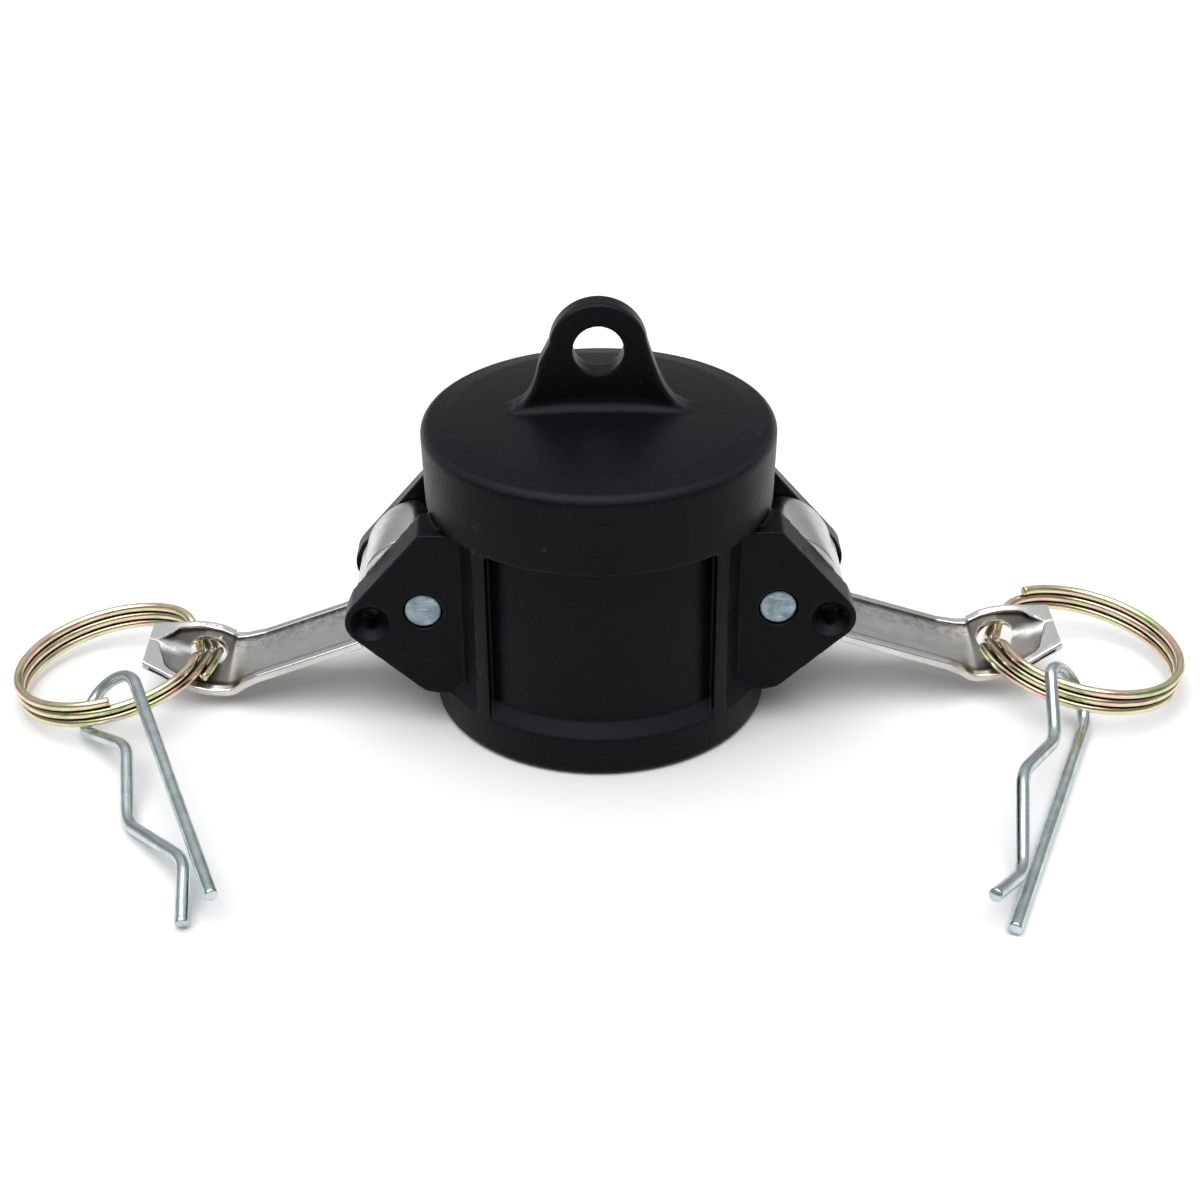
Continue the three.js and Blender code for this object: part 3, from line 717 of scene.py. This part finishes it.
def lever(side):
    made = arm_solid(side)
    made.name = f"cam_lever_{side['name']}"
    combine(made, cam_solid(side), "UNION")
    combine(made, rod(lever_point(side, 0, 0, 0), (0, 1, 0), PIN_HOLE_R, 20), "DIFFERENCE")
    combine(made, ring_hole(side), "DIFFERENCE")
    for edge in (-1, 1):
        combine(made, hem_slot(side, edge), "DIFFERENCE")
    return smooth_shaded(mark_wear_and_painted_light(made, side), 38)


# ---------------------------------------------------------------- split rings and safety clips

def ring_tilt(side):
    return Matrix.Rotation(side["outward"] * RING_TILT, 3, "Y")


def ring_path(side):
    """The coil's centreline, whose turns nest and dip where they pass through the lever."""
    tilt = ring_tilt(side)

    def path(t):
        angle = side["ring_start"] - 2 * math.pi * RING_TURNS * t
        level = RING_TURNS / 2 - RING_TURNS * t
        degrees = math.degrees(math.atan2(math.sin(angle), -side["outward"] * math.cos(angle)))
        nest = math.pi / 2 * math.exp(-(((degrees - RING_NEST_AT) / RING_NEST_WIDTH) ** 2))
        dip = RING_DIP * math.exp(-(((degrees - RING_DIP_AT) / RING_DIP_WIDTH) ** 2))
        up = level * RING_PITCH * math.cos(nest) - dip
        radius = RING_R - (level + RING_NEST_SHIFT) * RING_PITCH * math.sin(nest)
        return side["ring_centre"] + tilt @ Vector((radius * math.cos(angle), radius * math.sin(angle), up))

    return path


def mark_turns(made, side):
    """Stores how far each vertex of a ring faces the turn next to it, from 0 to 1, for painted shade
    between the turns.
    """
    path = ring_path(side)
    axis = ring_tilt(side) @ Vector((0, 0, 1))
    values = []
    for vertex in made.data.vertices:
        t = min(max(vertex.index // RING_SIDES - 1, 0), RING_STEPS) / RING_STEPS
        facing = (vertex.co / MM - path(t)).dot(axis) / RING_WIRE_R
        has_neighbour = t > 1 / RING_TURNS if facing > 0 else t < 1 - 1 / RING_TURNS
        values.append(float(smoothstep(0.62, 0.97, abs(facing))) if has_neighbour else 0.0)
    store(made, "painted_turn_shade", values)
    return made


def clip_outline():
    """Points along the clip in its own plane: straight leg, bow, waved leg with rounded corners."""
    points = [(0.0, 0.0), (CLIP_LEG * 0.5, 0.0)]
    points += arc((CLIP_LEG, CLIP_BOW_R), CLIP_BOW_R, -90, 90, 28)
    corners = [(CLIP_LEG, 2 * CLIP_BOW_R), *CLIP_WAVE]
    for i in range(1, len(corners) - 1):
        corner = Vector(corners[i])
        before = corner + (Vector(corners[i - 1]) - corner).normalized() * CLIP_CORNER_ROUNDING
        after = corner + (Vector(corners[i + 1]) - corner).normalized() * CLIP_CORNER_ROUNDING
        for k in range(9):
            t = k / 8
            points.append(tuple(before * (1 - t) ** 2 + corner * 2 * t * (1 - t) + after * t * t))
    points.append(corners[-1])
    return np.array(points)


def clip_path(side):
    """The clip's centreline from the end of its straight leg."""
    outline = clip_outline()
    lengths = np.concatenate([[0.0], np.cumsum(np.linalg.norm(np.diff(outline, axis=0), axis=1))])
    along = side["clip_along"].normalized()
    normal = along.cross(side["clip_across"]).normalized()
    across = normal.cross(along)

    def path(t):
        x = float(np.interp(t * lengths[-1], lengths, outline[:, 0]))
        y = float(np.interp(t * lengths[-1], lengths, outline[:, 1]))
        return side["clip_end"] + along * x + across * y

    return path


# ---------------------------------------------------------------- material helpers

def new_material(name, metallic=0.0):
    material = bpy.data.materials.new(name)
    material.use_nodes = True
    shader = material.node_tree.nodes["Principled BSDF"]
    shader.inputs["Metallic"].default_value = metallic
    return material, material.node_tree, shader


def finish_surface(tree, shader, colour, roughness, normal):
    tree.links.new(colour, shader.inputs["Base Color"])
    tree.links.new(roughness, shader.inputs["Roughness"])
    tree.links.new(normal, shader.inputs["Normal"])


def add_node(tree, kind, **settings):
    node = tree.nodes.new(kind)
    for key, value in settings.items():
        setattr(node, key, value)
    return node


def attribute(tree, name):
    return add_node(tree, "ShaderNodeAttribute", attribute_name=name).outputs["Fac"]


def object_place(tree):
    return add_node(tree, "ShaderNodeTexCoord").outputs["Object"]


def scaled(tree, coordinates, scale, rotation=(0, 0, 0)):
    mapping = add_node(tree, "ShaderNodeMapping")
    mapping.inputs["Scale"].default_value = scale
    mapping.inputs["Rotation"].default_value = rotation
    tree.links.new(coordinates, mapping.inputs["Vector"])
    return mapping.outputs["Vector"]


def object_coordinates(tree, scale=(1, 1, 1), rotation=(0, 0, 0)):
    return scaled(tree, object_place(tree), scale, rotation)


def wire_coordinates(tree, scale):
    return scaled(tree, add_node(tree, "ShaderNodeUVMap", uv_map="wire").outputs["UV"], scale)


def component(tree, vector, axis):
    node = add_node(tree, "ShaderNodeSeparateXYZ")
    tree.links.new(vector, node.inputs["Vector"])
    return node.outputs[axis]


def vector_node(tree, operation, vector, constant=(0, 0, 0)):
    node = add_node(tree, "ShaderNodeVectorMath", operation=operation)
    tree.links.new(vector, node.inputs[0])
    node.inputs[1].default_value = constant
    return node


def noise(tree, coordinates, scale, detail=4.0, roughness=0.5):
    """A noise from 0 to 1 with scale features in each unit of the coordinates, which are in metres."""
    texture = add_node(tree, "ShaderNodeTexNoise")
    texture.inputs["Scale"].default_value = scale
    texture.inputs["Detail"].default_value = detail
    texture.inputs["Roughness"].default_value = roughness
    tree.links.new(coordinates, texture.inputs["Vector"])
    return texture.outputs["Fac"]


def remap(tree, value, low, high, to_low, to_high):
    node = add_node(tree, "ShaderNodeMapRange")
    for key, number in zip(("From Min", "From Max", "To Min", "To Max"), (low, high, to_low, to_high)):
        node.inputs[key].default_value = number
    tree.links.new(value, node.inputs["Value"])
    return node.outputs["Result"]


def calculate(tree, operation, *values):
    node = add_node(tree, "ShaderNodeMath", operation=operation)
    for socket, value in zip(node.inputs, values):
        if isinstance(value, (int, float)):
            socket.default_value = value
        else:
            tree.links.new(value, socket)
    return node.outputs["Value"]


def times(tree, first, second):
    return calculate(tree, "MULTIPLY", first, second)


def inverse(tree, value):
    return calculate(tree, "SUBTRACT", 1.0, value)


def mixed(tree, factor, first, second):
    """A mix of two colours, each a value or a socket."""
    node = add_node(tree, "ShaderNodeMix", data_type="RGBA")
    tree.links.new(factor, node.inputs["Factor"])
    for socket, colour in ((node.inputs[6], first), (node.inputs[7], second)):
        if isinstance(colour, tuple):
            socket.default_value = (*colour, 1.0)
        else:
            tree.links.new(colour, socket)
    return node.outputs[2]


def bumped(tree, height, depth_mm, normal=None):
    """A normal with the height's relief, depth_mm deep where the height runs from 0 to 1."""
    node = add_node(tree, "ShaderNodeBump")
    node.inputs["Strength"].default_value = 1.0
    node.inputs["Distance"].default_value = depth_mm * MM
    tree.links.new(height, node.inputs["Height"])
    if normal is not None:
        tree.links.new(normal, node.inputs["Normal"])
    return node.outputs["Normal"]


def pointiness(tree, low, high):
    """0 on flat and hollow places, rising to 1 on outward edges."""
    geometry = add_node(tree, "ShaderNodeNewGeometry")
    return remap(tree, geometry.outputs["Pointiness"], low, high, 0.0, 1.0)


# ---------------------------------------------------------------- materials

def ejector_mark(tree, x, height, radius):
    """1 on the thin circle that an ejector pin leaves on the front of the moulding."""
    place = object_place(tree)
    centre = (x * MM, 0, (MOUTH_Z + height) * MM)
    offset = vector_node(tree, "SUBTRACT", place, centre).outputs["Vector"]
    flat = vector_node(tree, "MULTIPLY", offset, (1, 0, 1)).outputs["Vector"]
    distance = vector_node(tree, "LENGTH", flat).outputs["Value"]
    from_line = calculate(tree, "ABSOLUTE", calculate(tree, "SUBTRACT", distance, radius * MM))
    mark = remap(tree, from_line, EJECTOR_MARK_CORE * MM, EJECTOR_MARK_EDGE * MM, 1.0, 0.0)
    in_front = calculate(tree, "LESS_THAN", component(tree, place, "Y"), EJECTOR_MARKS_BEFORE_Y * MM)
    return times(tree, mark, in_front)


def ejector_marks(tree):
    marks = ejector_mark(tree, *EJECTOR_MARKS[0])
    for mark in EJECTOR_MARKS[1:]:
        marks = calculate(tree, "MAXIMUM", marks, ejector_mark(tree, *mark))
    return marks


def parting_line(tree):
    """1 along the mould's parting plane, which is y = 0."""
    away = calculate(tree, "ABSOLUTE", component(tree, object_place(tree), "Y"))
    return remap(tree, away, PARTING_LINE_WIDTH * 0.4 * MM, PARTING_LINE_WIDTH * MM, 1.0, 0.0)


def painted_slope_sheen(tree):
    """1 on faces that slope outwards and up, which get a painted sheen as if they caught the sky; less on
    level ones, 0 on walls.
    """
    upward = component(tree, add_node(tree, "ShaderNodeNewGeometry").outputs["Normal"], "Z")
    rising = remap(tree, upward, 0.30, 0.55, 0.0, 1.0)
    levelling = remap(tree, upward, 0.80, 0.95, 1.0, 0.12)
    return times(tree, rising, levelling)


def black_polymer():
    """Glass-filled black moulding: faint mottle and grain, pale specks, worn edges and a painted sheen on
    the slopes.
    """
    base_dark, base_light = (0.0016, 0.0019, 0.0030), (0.0036, 0.0040, 0.0056)
    # The last colour is a painted sheen for faces that slope up and out.
    worn_edge, speck, painted_sheen = (0.026, 0.028, 0.033), (0.06, 0.065, 0.075), (0.0130, 0.0140, 0.0165)
    material, tree, shader = new_material("black_polymer")
    shader.inputs["Specular IOR Level"].default_value = 0.085
    place = object_coordinates(tree)
    mottle = noise(tree, place, 45.0, 5.0, 0.6)
    grain = noise(tree, place, 2200.0, 3.0, 0.6)
    pits = noise(tree, place, 900.0, 2.0, 0.5)
    specks = remap(tree, noise(tree, place, 2600.0, 1.0, 0.4), 0.70, 0.80, 0.0, 1.0)
    edges = pointiness(tree, 0.515, 0.60)
    colour = mixed(tree, mottle, base_dark, base_light)
    colour = mixed(tree, times(tree, edges, 0.5), colour, worn_edge)
    colour = mixed(tree, times(tree, specks, 0.4), colour, speck)
    # Painted sheen on faces that slope up and out.
    colour = mixed(tree, painted_slope_sheen(tree), colour, painted_sheen)
    normal = bumped(tree, grain, 0.05)
    normal = bumped(tree, pits, 0.05, normal)
    normal = bumped(tree, mottle, 0.12, normal)
    normal = bumped(tree, inverse(tree, ejector_marks(tree)), 0.12, normal)
    normal = bumped(tree, inverse(tree, parting_line(tree)), 0.14, normal)
    finish_surface(tree, shader, colour, remap(tree, grain, 0.3, 0.7, 0.30, 0.44), normal)
    return material


def black_rubber():
    """Moulded rubber with a faint grey bloom."""
    clean, bloomed = (0.008, 0.008, 0.008), (0.022, 0.022, 0.021)
    material, tree, shader = new_material("black_rubber")
    shader.inputs["Specular IOR Level"].default_value = 0.3
    place = object_coordinates(tree)
    bloom = noise(tree, place, 120.0, 5.0, 0.6)
    roughness = remap(tree, bloom, 0.3, 0.7, 0.62, 0.8)
    normal = bumped(tree, noise(tree, place, 1800.0, 3.0), 0.04)
    finish_surface(tree, shader, mixed(tree, bloom, clean, bloomed), roughness, normal)
    return material


def stainless_steel():
    """Pressed stainless: a satin web with a rough band, tumbled rims and edges polished and given a painted
    highlight, a painted highlight on the crease, painted shade at the rim feet, in the slots and on the
    dished web.
    """
    web_dull, web_clean, rim = (0.50, 0.485, 0.46), (0.68, 0.66, 0.625), (0.70, 0.68, 0.65)
    painted_bowl_shade, rough_band, painted_shade = (0.085, 0.08, 0.075), (0.20, 0.185, 0.17), (0.05, 0.045, 0.04)
    material, tree, shader = new_material("stainless_steel", metallic=1.0)
    place = object_coordinates(tree)
    cloud = noise(tree, place, 160.0, 6.0, 0.65)
    grain = noise(tree, place, 1400.0, 4.0, 0.65)
    patches = remap(tree, noise(tree, place, 520.0, 5.0, 0.7), 0.46, 0.56, 0.0, 1.0)
    scale = times(tree, attribute(tree, "scale"), patches)
    # Painted highlight, partly polishing: the rims, the crease and the outward edges get a lighter colour
    # and a lower roughness.
    bright = calculate(tree, "MAXIMUM", attribute(tree, "polish_and_highlight"), pointiness(tree, 0.51, 0.57))
    colour = mixed(tree, remap(tree, cloud, 0.35, 0.65, 0.0, 1.0), web_dull, web_clean)
    # Painted shade darkens the dished web round the ring's hole.
    colour = mixed(tree, times(tree, attribute(tree, "painted_bowl_shade"), 0.9), colour, painted_bowl_shade)
    colour = mixed(tree, times(tree, scale, 0.6), colour, rough_band)
    # The rim colour is a painted highlight on the rims, crease and edges, laid over their polishing.
    colour = mixed(tree, bright, colour, rim)
    # Painted shade: a dark colour at the rim feet and in the hem slots.
    colour = mixed(tree, times(tree, attribute(tree, "groove_shade"), 0.9), colour, painted_shade)
    rough = calculate(tree, "ADD", remap(tree, cloud, 0.3, 0.7, 0.42, 0.30), times(tree, scale, 0.2))
    roughness = calculate(tree, "SUBTRACT", rough, times(tree, bright, 0.16))
    normal = bumped(tree, grain, 0.03)
    normal = bumped(tree, cloud, 0.05, normal)
    normal = bumped(tree, inverse(tree, scale), 0.05, normal)
    finish_surface(tree, shader, colour, roughness, normal)
    return material


def zinc_wire():
    """Blue-white zinc plate over drawn wire: fine lines along the wire, small dull patches."""
    dull, clean, line = (0.46, 0.53, 0.54), (0.68, 0.75, 0.76), (0.20, 0.25, 0.26)
    material, tree, shader = new_material("zinc_wire", metallic=1.0)
    lines = noise(tree, wire_coordinates(tree, (3600.0, 45.0, 1.0)), 1.0, 4.0, 0.6)
    patches = noise(tree, object_coordinates(tree), 260.0, 5.0, 0.6)
    colour = mixed(tree, remap(tree, patches, 0.35, 0.65, 0.0, 1.0), dull, clean)
    colour = mixed(tree, remap(tree, lines, 0.52, 0.68, 0.0, 0.7), colour, line)
    normal = bumped(tree, lines, 0.04)
    normal = bumped(tree, noise(tree, object_coordinates(tree), 900.0, 3.0), 0.02, normal)
    finish_surface(tree, shader, colour, remap(tree, patches, 0.3, 0.7, 0.30, 0.18), normal)
    return material


def zinc_pin():
    """Zinc plate on a cut pin: pale blue-grey with crossing scratches."""
    dull, clean, scratch = (0.17, 0.22, 0.25), (0.28, 0.34, 0.38), (0.62, 0.70, 0.74)
    material, tree, shader = new_material("zinc_pin", metallic=1.0)
    slanted = object_coordinates(tree, (420, 1, 1500), (0, math.radians(38), 0))
    scratches = noise(tree, slanted, 1.0, 5.0, 0.7)
    patches = noise(tree, object_coordinates(tree), 300.0, 5.0, 0.6)
    colour = mixed(tree, remap(tree, patches, 0.42, 0.58, 0.0, 1.0), dull, clean)
    colour = mixed(tree, remap(tree, scratches, 0.54, 0.68, 0.0, 0.6), colour, scratch)
    normal = bumped(tree, scratches, 0.03)
    normal = bumped(tree, patches, 0.04, normal)
    finish_surface(tree, shader, colour, remap(tree, scratches, 0.3, 0.7, 0.46, 0.32), normal)
    return material


def colour_ramp(tree, value, stops):
    """A colour that follows the value through stops of (position, colour)."""
    node = add_node(tree, "ShaderNodeValToRGB")
    while len(node.color_ramp.elements) < len(stops):
        node.color_ramp.elements.new(0.5)
    for element, (position, colour) in zip(node.color_ramp.elements, stops):
        element.position = position
        element.color = (*colour, 1.0)
    tree.links.new(value, node.inputs["Fac"])
    return node.outputs["Color"]


def yellow_zinc_wire():
    """Yellow passivated zinc: gold that turns pink and green in patches along and round the wire, with
    painted shade where the turns face each other.
    """
    tints = [
        (0.30, (0.34, 0.48, 0.22)),
        (0.42, (0.72, 0.69, 0.42)),
        (0.52, (0.82, 0.70, 0.50)),
        (0.60, (0.84, 0.52, 0.46)),
        (0.70, (0.54, 0.58, 0.26)),
    ]
    # A dark colour for the painted shade between the turns.
    painted_shade = (0.04, 0.028, 0.016)
    material, tree, shader = new_material("yellow_zinc_wire", metallic=1.0)
    tint = noise(tree, wire_coordinates(tree, (420.0, 110.0, 1.0)), 1.0, 3.0, 0.5)
    # Painted shade where each turn of the coil faces the next.
    painted_turn_shade = times(tree, attribute(tree, "painted_turn_shade"), 0.95)
    colour = mixed(tree, painted_turn_shade, colour_ramp(tree, tint, tints), painted_shade)
    lines = noise(tree, wire_coordinates(tree, (5200.0, 60.0, 1.0)), 1.0, 4.0, 0.6)
    roughness = remap(tree, lines, 0.3, 0.7, 0.14, 0.24)
    finish_surface(tree, shader, colour, roughness, bumped(tree, lines, 0.025))
    return material


def cut_end(name, colour):
    """The sheared end of a wire: brighter, with the shear's drag lines."""
    material, tree, shader = new_material(name, metallic=1.0)
    drag = noise(tree, object_coordinates(tree, (400, 400, 3600)), 1.0, 4.0, 0.6)
    darker = tuple(c * 0.7 for c in colour)
    roughness = remap(tree, drag, 0.3, 0.7, 0.45, 0.3)
    finish_surface(tree, shader, mixed(tree, drag, darker, colour), roughness, bumped(tree, drag, 0.05))
    return material


def pale_floor():
    material, tree, shader = new_material("pale_floor")
    tone = noise(tree, object_coordinates(tree), 3.0, 2.0)
    tree.links.new(mixed(tree, tone, (0.90, 0.90, 0.90), (0.92, 0.92, 0.92)), shader.inputs["Base Color"])
    shader.inputs["Roughness"].default_value = 0.9
    shader.inputs["Specular IOR Level"].default_value = 0.1
    return material


# ---------------------------------------------------------------- stage, light and camera

def floor():
    half = FLOOR_HALF
    points = [(x, y, MOUTH_Z) for x, y in ((-half, -half), (half, -half), (half, half), (-half, half))]
    made = add_object("floor", mesh_from("floor", points, [(0, 1, 2, 3)]))
    made.data.materials.append(pale_floor())


def sky(tree):
    """Brightness of the room by direction: bright overhead, dim low down, dimmer behind the camera."""
    direction = add_node(tree, "ShaderNodeTexCoord").outputs["Generated"]
    upward = remap(tree, component(tree, direction, "Z"), -0.1, 1.0, SKY_HORIZON, SKY_ZENITH)
    forward = remap(tree, component(tree, direction, "Y"), -1.0, 1.0, SKY_CAMERA_SIDE, 1.0)
    return times(tree, upward, forward)


def lighting():
    world = bpy.data.worlds.new("studio")
    world.use_nodes = True
    background = world.node_tree.nodes["Background"]
    background.inputs["Color"].default_value = (*SKY_COLOUR, 1.0)
    world.node_tree.links.new(sky(world.node_tree), background.inputs["Strength"])
    bpy.context.scene.world = world
    softbox = bpy.data.lights.new("overhead", "SUN")
    softbox.energy = SOFTBOX_ENERGY
    softbox.angle = SOFTBOX_ANGLE
    lamp = add_object("overhead", softbox)
    lamp.rotation_euler = SOFTBOX_TURN
    bpy.context.scene.view_settings.view_transform = "Standard"


def camera():
    lens = bpy.data.cameras.new("camera")
    lens.lens = CAMERA_LENS
    lens.sensor_width = CAMERA_SENSOR
    lens.clip_start = CAMERA_SEES_FROM * MM
    lens.clip_end = CAMERA_SEES_TO * MM
    made = add_object("camera", lens)
    back = Vector((0, -math.cos(CAMERA_DOWN), math.sin(CAMERA_DOWN)))
    back.rotate(Matrix.Rotation(-CAMERA_ROUND, 3, "Z"))
    made.location = (CAMERA_TARGET + back * CAMERA_DISTANCE) * MM
    aim = (-back).to_track_quat("-Z", "Y")
    made.rotation_mode = "QUATERNION"
    made.rotation_quaternion = aim @ Matrix.Rotation(CAMERA_ROLL, 3, "Z").to_quaternion()
    bpy.context.scene.camera = made


# ---------------------------------------------------------------- assembly

def build_cap():
    polymer = black_polymer()
    rubber = black_rubber()
    finished(cap_moulding(), "cap_body", "cap", [polymer])
    finished(gasket_ring(), "gasket", "cap", [rubber])


def build_sides():
    steel = stainless_steel()
    pin = zinc_pin()
    clip_looks = [zinc_wire(), cut_end("zinc_cut_end", (0.78, 0.80, 0.80))]
    ring_looks = [yellow_zinc_wire(), cut_end("yellow_cut_end", (0.62, 0.80, 0.16))]
    for side in SIDES:
        name = side["name"]
        finished(lever_pin(side), f"lever_pin_{name}", "cap", [pin])
        finished(lever(side), f"lever_{name}", f"{name}_lever", [steel])
        ring = tube(
            f"key_ring_{name}", ring_path(side), RING_WIRE_R, RING_STEPS, RING_SIDES, RING_END_CHAMFER)
        mark_turns(ring, side)
        finished(ring, f"split_ring_{name}", f"{name}_ring", ring_looks)
        clip = tube(
            f"hairpin_{name}", clip_path(side), CLIP_WIRE_R, CLIP_STEPS, CLIP_SIDES, CLIP_END_CHAMFER)
        finished(clip, f"safety_clip_{name}", f"{name}_clip", clip_looks)


build_cap()
build_sides()
floor()
lighting()
camera()
